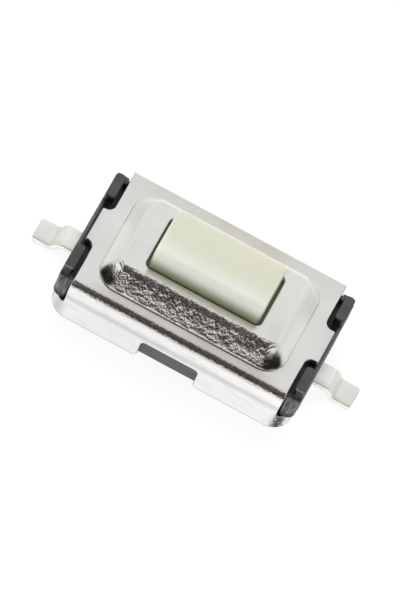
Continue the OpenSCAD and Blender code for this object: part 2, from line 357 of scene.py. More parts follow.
@dataclass(frozen=True)
class TinnedSheet(Finish):
    """Bright tin-plated sheet: cloudy on the flats, pitted where the front was drawn or bent.

    The spans are where smooth rises start and end: in height (z), in distance from the middle line (far), in
    place across the body (half) and in the normal's upward part (up).
    """

    title: str = "cover_sheet"
    tint: Colour = (0.93, 0.925, 0.905, 1.0)
    cloud: Colour = (0.83, 0.82, 0.79, 1.0)
    warm_haze_and_painted_rear_shade: Colour = (0.75, 0.73, 0.66, 1.0)
    rub_and_painted_reflection: Colour = (0.46, 0.44, 0.42, 1.0)
    wall: Colour = (0.895, 0.895, 0.895, 1.0)
    wall_painted_light: Colour = (0.965, 0.96, 0.96, 1.0)
    stain_and_painted_reflection: Colour = (0.72, 0.71, 0.69, 1.0)
    # Painted shade: the plateau sides' colour level at each height, darker at the crown and lighter at the
    # foot.
    satin: tuple[Span, ...] = ((1.4, 0.98), (1.73, 0.8), (1.87, 0.69))
    satin_cast: Triple = (1.0, 0.99, 0.965)
    front: Colour = (0.66, 0.62, 0.59, 1.0)
    # Dull grey of the cut edges; also used for the painted shade of the foot line, the tool mark's crease and
    # the bottom rim.
    edge: Colour = (0.30, 0.30, 0.30, 1.0)
    painted_shade_and_dark_marks: Colour = (0.05, 0.05, 0.05, 1.0)
    raised_z: Span = (1.36, 1.42)
    slope_far: Span = (0.9, 0.99)
    slope_z: Span = (1.4, 1.47)
    slope_end_far: Span = (1.5, 1.42)
    bend_far: Span = (1.5, 1.58)
    bend_up: Span = (0.1, 0.45)
    bend_z: Span = (1.0, 1.1)
    front_half: Span = (0.5, -0.5)
    standing_up: Span = (0.45, 0.12)
    standing_z: Span = (1.3, 1.2)
    wrap_z: Span = (0.75, 0.55)
    wrap_turn: float = 0.56
    crease_z: float = 0.845
    crease_half: float = 0.17
    painted_shade_rim_z: Span = (0.135, 0.10)
    pit_depth: float = 0.013

    def _smooth(self, spot: Spot) -> tuple[Shade, Shade]:
        """Where the plateau's sides stay smooth, and where its rear crown and the rear bend do.

        Args:
            spot: The point.

        Returns:
            The share of both, and that of the rear.
        """
        turned = (spot.aside + spot.far.step(1.0, 0.85) * 0.5).step(0.62, 0.8)
        sides = turned * spot.height.step(*self.raised_z)
        rear = spot.back.step(0.06, 0.35) * spot.up.step(0.51, 0.58)
        return sides.most(rear), rear

    def _worked(self, spot: Spot, smooth: Shade) -> Shade:
        """Where the front was drawn into the plateau or bent down.

        Args:
            spot: The point.
            smooth: Where the sheet stays smooth.

        Returns:
            The share.
        """
        stretched = spot.far.step(1.0, 1.2) * 0.2 + 0.82
        drawn = spot.far.step(*self.slope_far) * spot.height.step(*self.slope_z) * stretched
        bent = spot.far.step(*self.bend_far) * spot.up.step(*self.bend_up) * spot.height.step(*self.bend_z)
        calm = spot.aside.step(0.15, 0.45) * 0.65
        return (drawn * (1.0 - smooth) * (1.0 - calm)).most(bent * 0.8) * spot.across.step(*self.front_half)

    def _flats(self, graph: Graph, spot: Spot, grains: Grains) -> Shade:
        """The clouded plating with warmer haze, painted shade that makes it warmer and darker to the rear, and
        dimmer before the plateau.

        Args:
            graph: The material's graph.
            spot: The point.
            grains: The noises.

        Returns:
            The colour.
        """
        colour = graph.blend(grains.clouds * 0.5 + grains.mottle * 0.15, self.tint, self.cloud)
        # Random warmer haze, plus painted shade that turns the plate warmer and darker towards the rear.
        colour = graph.blend(grains.haze * 0.5 + spot.across.step(0.8, 1.75) * 0.45, colour, self.warm_haze_and_painted_rear_shade)
        strip = spot.across.step(-1.3, -1.46) * spot.height.step(1.42, 1.38) * abs(spot.along).step(2.5, 1.7)
        return graph.blend(strip * 0.5, colour, self.front)

    def _plateau(
        self, graph: Graph, spot: Spot, grains: Grains, colour: Shade, masks: tuple[Shade, ...]
    ) -> Shade:
        """Lays the rubbed pits with a painted dark reflection down the lower front slope, the satin sides with
        painted shade by height and on the left, the rear's painted shade and the painted dark reflections in
        the front corners over the flats' colour.

        Args:
            graph: The material's graph.
            spot: The point.
            grains: The noises.
            colour: The flats' colour.
            masks: Where the sheet is worked, where it stays smooth, and where the rear does.

        Returns:
            The colour.
        """
        worked, smooth, rear = masks
        # Painted reflection: the lower front slope is darkened like the dark card it reflects, over the darker
        # rubbed pits.
        slope = spot.far.step(1.02, 1.15) * spot.far.step(*self.slope_end_far)
        pits_and_painted_reflection = grains.pits.step(0.56, 0.36) * 0.45 + slope * (grains.patches * 0.6 + 0.26)
        colour = graph.blend(worked * pits_and_painted_reflection, colour, self.rub_and_painted_reflection)
        # Painted shade: the smooth sides are lighter towards their foot and darker at the crown, and the left
        # side is darker than the right.
        red, green, blue = self.satin_cast
        stops = [(z - 1.0, (level * red, level * green, level * blue, 1.0)) for z, level in self.satin]
        shaded = graph.node("ShaderNodeValToRGB", {"stops": stops}, {"Fac": spot.height - 1.0})
        shaded = graph.blend(spot.sideways.step(0.4, -0.4) * 0.12, shaded, self.painted_shade_and_dark_marks)
        # The smooth sides take the painted-shade ramp, and the rear crown and rear bend take a darker, warmer
        # colour as painted shade in place of their bright reflection.
        colour = graph.blend(smooth, colour, graph.blend(rear, shaded, self.warm_haze_and_painted_rear_shade))
        # Painted reflection: dark patches in the plateau's front corners, darker lower down the slope.
        corner = spot.aside.step(0.12, 0.4) * spot.aside.step(0.8, 0.66) * spot.height.step(1.38, 1.42)
        sunk_painted_dark = (spot.height + grains.lumps * 0.12 + grains.pits * 0.1).step(1.86, 1.66)
        return graph.blend(corner * sunk_painted_dark * spot.across.step(0.0, -0.5) * 0.92, colour, self.painted_shade_and_dark_marks)

    def _skirts(self, graph: Graph, spot: Spot, grains: Grains, colour: Shade, standing: Shade) -> Shade:
        """Lays the skirts' painted light, brighter to the right, their grey clouds of painted reflection, and
        the painted shade line at the plateau's ends, over the colour.

        Args:
            graph: The material's graph.
            spot: The point.
            grains: The noises.
            colour: The colour so far.
            standing: Where the sheet stands upright.

        Returns:
            The colour.
        """
        tips = abs(spot.along).step(2.6, 2.95) * spot.up.step(0.8, 0.95)
        colour = graph.blend(tips * 0.3, colour, self.stain_and_painted_reflection)
        # Painted light: the skirts are coloured brighter towards the right end.
        skirt_painted_light = graph.blend(spot.along.step(-1.0, 2.6), self.wall, self.wall_painted_light)
        colour = graph.blend(standing * 0.9, colour, skirt_painted_light)
        # Painted reflection: grey clouds on the skirts stand for the floor they reflect.
        colour = graph.blend(standing * grains.painted_reflection_clouds.step(0.45, 0.75) * 0.4, colour, self.stain_and_painted_reflection)
        # Painted shade: a thin dark line in the crease at the foot of the plateau's ends.
        line = spot.height.step(1.41, 1.375) * spot.height.step(1.35, 1.362)
        foot = spot.aside.step(0.05, 0.4) * line * spot.far.step(1.3, 1.1)
        return graph.blend(foot * 0.22, colour, self.edge)

    def _marks(
        self, graph: Graph, spot: Spot, grains: Grains, colour: Shade, masks: tuple[Shade, ...]
    ) -> Shade:
        """Lays the tool mark as a band of painted shade, the dull cut edges, the painted shade along the bottom
        rim, and the corner wraps' painted reflection and dark outline with a frayed dark stripe on the right,
        over the colour.

        Args:
            graph: The material's graph.
            spot: The point.
            grains: The noises.
            colour: The colour so far.
            masks: Where the sheet stands upright, and where it was cut.

        Returns:
            The colour.
        """
        standing, cut = masks
        # Painted shade: the tool mark's crease is painted as a grey band, and the bottom rim and down-facing
        # faces are painted dark; the cut edges are dull bare metal.
        mark = abs(spot.height - (grains.lumps * 0.05 + self.crease_z)).step(self.crease_half, 0.0) * standing
        rim = spot.height.step(*self.painted_shade_rim_z).most(spot.up.step(-0.05, -0.4))
        colour = graph.blend(mark * 0.36 + (rim * 0.75).most(cut.step(0.05, 0.6) * 0.85), colour, self.edge)
        # Painted reflection and shade: the corner wraps are greyed low down and darkened along their
        # turned-away outline; the right corner also gets a frayed dark stripe.
        low = standing * spot.height.step(*self.wrap_z)
        wrap = abs(spot.aside - self.wrap_turn).step(self.wrap_turn, 0.0) * low
        fray = ((grains.pits - 0.5) * 0.6 + (grains.lumps - 0.5) * 0.9 + wrap).step(0.4, 1.0)
        outline = spot.aside.step(0.82, 0.99) * low * 0.75
        right = spot.along.step(0.0, 2.0)
        dark = wrap * 0.32 + fray * right * 0.7 + outline * (1.0 - right * 0.6)
        return graph.blend(dark, colour, self.painted_shade_and_dark_marks)

    def surface(self, graph: Graph) -> dict:
        """Clouds, rubbed pits, smooth sides, a tool mark along the skirts and dull cut edges, with painted
        reflections on the front slope, corners and skirts, and painted shade and light elsewhere.

        Args:
            graph: The material's graph.

        Returns:
            The shader's inputs.
        """
        spot = Spot(graph)
        grains = Grains(graph, spot.place)
        smooth, rear = self._smooth(spot)
        worked = self._worked(spot, smooth)
        standing = abs(spot.up).step(*self.standing_up) * spot.height.step(*self.standing_z)
        cut = graph.node("ShaderNodeAttribute", {"attribute_name": CUT_EDGE}, {}, "Fac")
        colour = self._flats(graph, spot, grains)
        colour = self._plateau(graph, spot, grains, colour, (worked.least(1.0), smooth, rear))
        colour = self._skirts(graph, spot, grains, colour, standing)
        colour = self._marks(graph, spot, grains, colour, (standing, cut))
        rolled = (grains.patches - 0.5) * spot.far.step(*self.slope_end_far) * 0.9
        relief = worked * ((grains.pits - 0.5) + (grains.lumps - 0.5) * 0.9 + rolled) + grains.wave * 0.08
        return {
            "Base Color": colour,
            "Metallic": 1.0 - smooth * 0.6,
            "Roughness": smooth * 0.25 + grains.clouds * 0.05 + 0.2 - worked.least(1.0) * 0.08 + cut * 0.2,
            "Normal": graph.relief(relief, self.pit_depth),
        }


@dataclass(frozen=True)
class BlackMoulding(Finish):
    """Black glass-filled moulding with painted light: grey where it lies open and looks up, black down its
    walls and in the low floor under the cover as painted shade, painted highlights on its edges and lip over
    real wear, scratches with painted light on its bevels, and painted light on the wall behind the skirt's
    notch.

    The spans are where smooth rises start and end: in height (z), in distance from the middle line (far) and in
    distance from the body's middle (along).
    """

    title: str = "base_plastic"
    tint: Colour = (0.005, 0.005, 0.006, 1.0)
    painted_lit_tint: Colour = (0.045, 0.045, 0.05, 1.0)
    # Grey of rubbed edges, here also the painted highlight on the edges and the lip.
    rubbed: Colour = (0.17, 0.17, 0.18, 1.0)
    scratches_and_painted_light: Colour = (0.19, 0.20, 0.22, 1.0)
    dust_and_painted_light: Colour = (0.10, 0.10, 0.105, 1.0)
    bevel: float = 0.035
    block_far: Span = (1.46, 1.5)
    lip_far: Span = (1.38, 1.42)
    lip_z: Span = (1.2, 1.3)
    sunk_painted_dark_z: Span = (1.33, 1.28)
    end_along: Span = (2.9, 2.96)
    end_far: Span = (0.78, 0.7)
    notch_along: Span = (1.0, 0.9)
    notch_far: Span = (1.5, 1.55)

    def _colour(self, graph: Graph, spot: Spot, flow: Shade, rounded: Shade) -> Shade:
        """The moulding's colour.

        Args:
            graph: The material's graph.
            spot: The point.
            flow: The flow marks.
            rounded: The normal with the edges rounded.

        Returns:
            The colour.
        """
        length, far, height, up = abs(spot.along), spot.far, spot.height, spot.up
        facing = graph.node(
            "ShaderNodeVectorMath", {"operation": "DOT_PRODUCT"}, {0: rounded, 1: spot.normal}, "Value"
        )
        wear_and_painted_highlight = facing.step(0.995, 0.8) * graph.grain(spot.place, 7.0).step(0.3, 0.6) * up.step(0.2, 0.6)
        scratch = graph.grain(graph.stretched(spot.place, (9.0, 1.2, 1.2)), 2.6, 3.0, 0.6)
        slanted = far.step(*self.block_far) * height.step(0.66, 0.8) * height.step(1.2, 1.1)
        lip = up.step(0.98, 0.9) * up.step(0.1, 0.3) * far.step(*self.lip_far) * height.step(*self.lip_z)
        # Painted light and shade: faces that look up are lit grey and walls stay black, and the low floor under
        # the cover, away from the ends, is painted black as shade.
        sunk_painted_dark = height.step(*self.sunk_painted_dark_z) * far.step(1.5, 1.4) * (1.0 - length.step(2.95, 2.97))
        lit = up.step(0.2, 0.95) * (flow.step(0.3, 0.7) * 0.35 + 0.65) * (1.0 - sunk_painted_dark)
        end = length.step(*self.end_along) * far.step(*self.end_far) * up.step(0.8, 0.95)
        notch = length.step(*self.notch_along) * far.step(*self.notch_far) * (flow * 0.3 + 0.7)
        colour = graph.blend(lit, self.tint, self.painted_lit_tint)
        # Painted highlight: the rounded edges, over some wear, and the lip at the blocks' top front edge are
        # lighter.
        colour = graph.blend((wear_and_painted_highlight * 0.75).most(lip * 0.8), colour, self.rubbed)
        colour = graph.blend(end * (flow * 0.4 + 0.5), colour, self.dust_and_painted_light)
        # Scratches with painted light: the lower bevels are coloured bluish-grey for the light they catch.
        colour = graph.blend(slanted * (scratch.step(0.35, 0.65) * 0.8 + 0.1), colour, self.scratches_and_painted_light)
        # Painted light: the front and rear walls behind the skirts' notches are lifted to grey, as if lit from
        # the floor.
        return graph.blend(notch, colour, self.dust_and_painted_light)

    def surface(self, graph: Graph) -> dict:
        """Fine moulded grain, flow marks, rubbed edges with painted highlights, and scratches with painted
        light down the corner blocks' bevels.

        Args:
            graph: The material's graph.

        Returns:
            The shader's inputs.
        """
        spot = Spot(graph)
        rounded = graph.node("ShaderNodeBevel", {"samples": 6}, {"Radius": self.bevel * MM})
        flow = graph.grain(graph.stretched(spot.place, (0.6, 1.6, 1.0)), 2.0, 4.0, 0.6)
        speck = graph.grain(spot.place, 26.0, 2.0, 0.6)
        return {
            "Base Color": self._colour(graph, spot, flow, rounded),
            "Roughness": 0.34 + flow * 0.2,
            "Normal": graph.relief(speck + flow * 0.4, 0.0015, 0.6, rounded),
        }


@dataclass(frozen=True)
class CreamResin(Finish):
    """Cream moulded resin with a faint green cast. It lets some light through; its front edge is paler as a
    painted highlight and its root darker as painted shade.
    """

    title: str = "button_plastic"
    tint: Colour = (0.55, 0.555, 0.455, 1.0)
    pale: Colour = (0.63, 0.63, 0.585, 1.0)
    root: Colour = (0.17, 0.19, 0.085, 1.0)

    def surface(self, graph: Graph) -> dict:
        """Faint flow clouds, a front edge paler as a painted highlight, a root darker as painted shade and a
        fine moulded skin.

        Args:
            graph: The material's graph.

        Returns:
            The shader's inputs.
        """
        place = graph.place()
        _, across, height = graph.split(place)
        clouds = graph.grain(place, 1.3, 3.0, 0.5).step(0.35, 0.7)
        speck = graph.grain(place, 22.0, 2.0, 0.5)
        # Painted highlight: the front edge is paler, over random flow clouds.
        colour = graph.blend(across.step(-0.1, -0.62) * 0.9 + clouds * 0.12, self.tint, self.pale)
        # Painted shade: the button darkens towards its root, near the gap.
        colour = graph.blend(height.step(2.36, 1.9) * 0.9, colour, self.root)
        return {
            "Base Color": colour,
            "Roughness": 0.36 + speck * 0.1,
            "Subsurface Weight": 0.7,
            "Subsurface Radius": (1.0, 1.0, 0.7),
            "Subsurface Scale": 0.0002,
            "Normal": graph.relief(speck, 0.0012, 0.4),
        }


@dataclass(frozen=True)
class SilverPlating(Finish):
    """Silver plating over brass, satin, with drawing streaks."""

    title: str = "lead_plating"
    tint: Colour = (0.98, 0.98, 0.94, 1.0)
    dull: Colour = (0.88, 0.87, 0.78, 1.0)
    rubbed: Colour = (0.81, 0.81, 0.76, 1.0)
    # Painted shade for the faces that look down.
    under: Colour = (0.35, 0.35, 0.33, 1.0)

    def surface(self, graph: Graph) -> dict:
        """Streaks along the strip, dull patches, and painted shade on the faces that look down.

        Args:
            graph: The material's graph.

        Returns:
            The shader's inputs.
        """
        spot = Spot(graph)
        streak = graph.grain(graph.stretched(spot.place, (1.0, 9.0, 4.0)), 2.2, 3.0, 0.6)
        patch = graph.grain(spot.place, 3.0, 3.0, 0.5).step(0.4, 0.7)
        rounded = spot.up.step(0.15, 0.4) * spot.up.step(0.98, 0.9)
        foot = spot.height.step(0.3, 0.16) * spot.up.step(0.6, 0.9)
        colour = graph.blend(streak * 0.35 + patch * 0.35, self.tint, self.dull)
        colour = graph.blend(foot * 0.9, colour, self.rubbed)
        # Painted shade: faces that look down are darkened.
        colour = graph.blend(spot.up.step(-0.02, -0.5) * 0.75, colour, self.under)
        return {
            "Base Color": colour,
            "Metallic": 0.75,
            "Roughness": 0.36 + patch * 0.12 + rounded * 0.3,
            "Normal": graph.relief(streak, 0.002, 0.6),
        }


@dataclass(frozen=True)
class SpringSteel(Finish):
    """Rolled spring steel."""

    title: str = "dome_steel"
    tint: Colour = (0.62, 0.61, 0.59, 1.0)
    heat: Colour = (0.48, 0.43, 0.34, 1.0)

    def surface(self, graph: Graph) -> dict:
        """Rolling streaks and a faint heat tint.

        Args:
            graph: The material's graph.

        Returns:
            The shader's inputs.
        """
        place = graph.place()
        streak = graph.grain(graph.stretched(place, (0.5, 14.0, 1.0)), 3.0, 3.0, 0.6)
        heat = graph.grain(place, 1.2).step(0.45, 0.75)
        return {
            "Base Color": graph.blend(heat * 0.5 + streak * 0.2, self.tint, self.heat),
            "Metallic": 1.0,
            "Roughness": 0.22 + streak * 0.12,
            "Normal": graph.relief(streak, 0.0015, 0.5),
        }


@dataclass(frozen=True)
class AmberFilm(Finish):
    """Thin amber film."""

    title: str = "film"
    tint: Colour = (0.72, 0.36, 0.06, 1.0)
    thin: Colour = (0.85, 0.5, 0.12, 1.0)

    def surface(self, graph: Graph) -> dict:
        """Cast ripples.

        Args:
            graph: The material's graph.

        Returns:
            The shader's inputs.
        """
        place = graph.place()
        ripple = graph.grain(graph.stretched(place, (1.0, 3.0, 1.0)), 1.5, 2.0, 0.5)
        return {
            "Base Color": graph.blend(ripple.step(0.3, 0.7), self.tint, self.thin),
            "Roughness": 0.16 + ripple * 0.08,
            "Alpha": 0.85,
            "Normal": graph.relief(ripple, 0.002, 0.4),
        }


@dataclass(frozen=True)
class Felt(Finish):
    """Dull black felt, for the studio's cards."""

    title: str = "felt"
    tint: Colour = (0.078, 0.067, 0.064, 1.0)

    def shader(self, graph: Graph) -> Shade:
        """The shader."""
        return graph.node("ShaderNodeBsdfDiffuse", {}, {"Color": self.tint})


def seen(graph: Graph) -> Shade:
    """One for camera, glossy and transmission rays, and zero for the rest.

    Args:
        graph: The material's or world's graph.

    Returns:
        The mask.
    """
    path = graph.node("ShaderNodeLightPath", {}, {}).socket.node
    names = ("Is Camera Ray", "Is Glossy Ray", "Is Transmission Ray")
    camera, glossy, through = (Shade(graph, path.outputs[name]) for name in names)
    return camera.most(glossy).most(through)


@dataclass(frozen=True)
class FloorPaper(Finish):
    """White paper that also glows to the rays that see it, so that it reads white and keeps its shadow."""

    title: str = "floor_paper"
    white: float = 0.9
    glow: float = 0.86
    level: float = 1.03

    def shader(self, graph: Graph) -> Shade:
        """The shader.

        Args:
            graph: The material's graph.

        Returns:
            Its output.
        """
        paper = graph.node("ShaderNodeBsdfDiffuse", {}, {"Color": grey(self.white)})
        glow = graph.node("ShaderNodeEmission", {}, {"Color": grey(1.0), "Strength": self.level})
        return graph.node("ShaderNodeMixShader", {}, {0: seen(graph) * self.glow, 1: paper, 2: glow})


def place_object(name: str, data: bpy.types.ID) -> bpy.types.Object:
    """Puts an object with the given data into the scene.

    Args:
        name: The object's name.
        data: Its mesh, camera or lamp data.

    Returns:
        The object.
    """
    made = bpy.data.objects.new(name, data)
    bpy.context.scene.collection.objects.link(made)
    return made


def dress(piece: bpy.types.Object, finish: Finish) -> None:
    """Gives a piece its finish.

    Args:
        piece: The piece.
        finish: The finish.
    """
    piece.data.materials.clear()
    piece.data.materials.append(finish.material())


# Meshes


@dataclass
class Shell:
    """Points and faces of one piece, in millimetres, with the points' normals and cut edges where known."""

    points: list = field(default_factory=list)
    faces: list = field(default_factory=list)
    normals: list = field(default_factory=list)
    cut: list = field(default_factory=list)

    def add_points(self, points: np.ndarray) -> int:
        """Adds points.

        Args:
            points: The points, one in each row.

        Returns:
            The number of the first one.
        """
        first = len(self.points)
        self.points.extend(map(tuple, np.asarray(points, float)))
        return first

    def bridge(self, lower: int, upper: int, count: int) -> None:
        """Joins two closed rings of points with quads. They face out if the rings run anticlockwise going up.

        Args:
            lower: First point of the lower ring.
            upper: First point of the upper ring.
            count: Points in each ring.
        """
        for i in range(count):
            j = (i + 1) % count
            self.faces.append((lower + i, lower + j, upper + j, upper + i))

    def loft(self, rings: list) -> None:
        """Adds a closed body through rings of equal count, with a face on both ends.

        Args:
            rings: The rings, from the lowest to the highest, each anticlockwise seen from above.
        """
        count = len(rings[0])
        starts = [self.add_points(ring) for ring in rings]
        for lower, upper in zip(starts, starts[1:]):
            self.bridge(lower, upper, count)
        self.faces.append(tuple(range(starts[0] + count - 1, starts[0] - 1, -1)))
        self.faces.append(tuple(range(starts[-1], starts[-1] + count)))

    @staticmethod
    def _turn_outwards(mesh: bpy.types.Mesh) -> None:
        """Turns every face of a mesh of closed bodies outwards.

        Args:
            mesh: The mesh.
        """
        work = bmesh.new()
        work.from_mesh(mesh)
        bmesh.ops.recalc_face_normals(work, faces=work.faces)
        work.to_mesh(mesh)
        work.free()

    def piece(self, name: str, sharp: float = 50.0) -> bpy.types.Object:
        """Makes the object, in metres.

        Args:
            name: The piece's name.
            sharp: Edges that turn by more than this many degrees stay sharp.

        Returns:
            The object.
        """
        mesh = bpy.data.meshes.new(name)
        mesh.from_pydata((np.array(self.points) * MM).tolist(), [], self.faces)
        mesh.shade_smooth()
        if self.normals:
            mesh.normals_split_custom_set_from_vertices(self.normals)
        else:
            self._turn_outwards(mesh)
            mesh.set_sharp_from_angle(angle=math.radians(sharp))
        if self.cut:
            mesh.attributes.new(CUT_EDGE, "FLOAT", "POINT").data.foreach_set("value", self.cut)
        return place_object(name, mesh)


def ring_rect(
    half_l: float, half_w: float, radius: float, z: float, corner: int = 6, side: int = 4
) -> np.ndarray:
    """A rectangle with round corners, anticlockwise, at one height.

    Args:
        half_l: Half its length along the body.
        half_w: Half its width across it.
        radius: Corner radius.
        z: Height.
        corner: Steps in each corner.
        side: Steps along each side.

    Returns:
        The points.
    """
    centres = [(half_l - radius, half_w - radius), (radius - half_l, half_w - radius),
               (radius - half_l, radius - half_w), (half_l - radius, radius - half_w)]
    points = []
    for k, (cx, cy) in enumerate(centres):
        arc = [math.radians(90 * (k + i / corner)) for i in range(corner + 1)]
        here = [(cx + radius * math.cos(a), cy + radius * math.sin(a), z) for a in arc]
        nx, ny = centres[(k + 1) % 4]
        turn = math.radians(90 * (k + 1))
        ahead = (nx + radius * math.cos(turn), ny + radius * math.sin(turn), z)
        last = np.array(here[-1])
        points += here + [tuple(last + (np.array(ahead) - last) * i / side) for i in range(1, side)]
    return np.array(points)


def ring_circle(radius: float, z: float, count: int = 48) -> np.ndarray:
    """A circle about the button's axis, anticlockwise, at one height."""
    turns = np.linspace(0, 2 * math.pi, count, endpoint=False)
    return np.stack([radius * np.cos(turns), radius * np.sin(turns), np.full(count, z)], axis=1)


def rounded_outline(corners: list, spacing: float) -> np.ndarray:
    """A closed flat outline with round corners, cut into steps.

    Args:
        corners: Each corner's two coordinates and its radius.
        spacing: Longest step.

    Returns:
        The points.
    """
    count = len(corners)
    points = []
    for i in range(count):
        before, here, after = (np.array(corners[(i + k) % count][:2], float) for k in (-1, 0, 1))
        radius = corners[i][2]
        come, go = (before - here), (after - here)
        come, go = come / np.linalg.norm(come), go / np.linalg.norm(go)
        half = math.acos(float(np.clip(come @ go, -1, 1))) / 2
        reach = radius / math.tan(half)
        middle = here + (come + go) / np.linalg.norm(come + go) * radius / math.sin(half)
        first, last = here + come * reach - middle, here + go * reach - middle
        steps = max(2, math.ceil(radius * (math.pi - 2 * half) / spacing))
        turn = math.atan2(first[0] * last[1] - first[1] * last[0], float(first @ last))
        for k in range(steps + 1):
            a = turn * k / steps
            spin = np.array([[math.cos(a), -math.sin(a)], [math.sin(a), math.cos(a)]])
            points.append(middle + spin @ first)
    closed = []
    for a, b in zip(points, points[1:] + points[:1]):
        steps = max(1, math.ceil(float(np.linalg.norm(b - a)) / spacing))
        closed += [a + (b - a) * k / steps for k in range(steps)]
    return np.array(closed)


def rounded_levels(low: float, high: float, radius: float) -> list:
    """Levels of a flat body whose upper and lower edges are rounded.

    Args:
        low: Its underside.
        high: Its top.
        radius: The edges' radius.

    Returns:
        Pairs of a height and how far the outline is drawn in there.
    """
    near = 0.3 * radius
    lower = [(low, radius), (low + near, near), (low + radius, 0.0)]
    return lower + [(high - radius, 0.0), (high - near, near), (high, radius)]


def inset(outline: np.ndarray, by: float) -> np.ndarray:
    """An anticlockwise outline moved inwards, or a clockwise one outwards.

    Args:
        outline: The points.
        by: How far.

    Returns:
        The moved points.
    """
    along = np.roll(outline, -1, 0) - np.roll(outline, 1, 0)
    along /= np.linalg.norm(along, axis=1, keepdims=True)
    return outline + by * np.stack([-along[:, 1], along[:, 0]], axis=1)


def inside(points: np.ndarray, outline: np.ndarray) -> np.ndarray:
    """Whether each point lies in an outline, by the crossings to its right.

    Args:
        points: The points.
        outline: The outline.

    Returns:
        One truth value for each point.
    """
    a, b = outline, np.roll(outline, -1, 0)
    result = np.zeros(len(points), bool)
    for start in range(0, len(points), 4000):
        p = points[start : start + 4000, None, :]
        spans = (a[:, 1] > p[..., 1]) != (b[:, 1] > p[..., 1])
        rise = np.where(b[:, 1] == a[:, 1], 1.0, b[:, 1] - a[:, 1])
        cross = a[:, 0] + (p[..., 1] - a[:, 1]) * (b[:, 0] - a[:, 0]) / rise
        result[start : start + 4000] = (spans & (p[..., 0] < cross)).sum(1) % 2 == 1
    return result


def lines(limit: float, coarse: float, fine_zones: list) -> np.ndarray:
    """Places of mesh lines from -limit to limit, mirrored, closer together in some zones.

    Args:
        limit: The last line.
        coarse: Spacing outside the zones.
        fine_zones: Start, end and spacing of each zone, on the positive side.

    Returns:
        The places.
    """
    places = [0.0]
    while places[-1] < limit:
        here = places[-1]
        step = min([coarse] + [s for lo, hi, s in fine_zones if lo - s <= here < hi])
        ahead = [lo for lo, _, s in fine_zones if here < lo - s < here + step]
        places.append(min(ahead) if ahead else here + step)
    half = np.array(places)
    return np.concatenate([-half[:0:-1], half])


def smooth_share(value: np.ndarray, low: float, high: float) -> np.ndarray:
    """A smooth rise from 0 at low to 1 at high."""
    t = np.clip((value - low) / (high - low), 0, 1)
    return t * t * (3 - 2 * t)


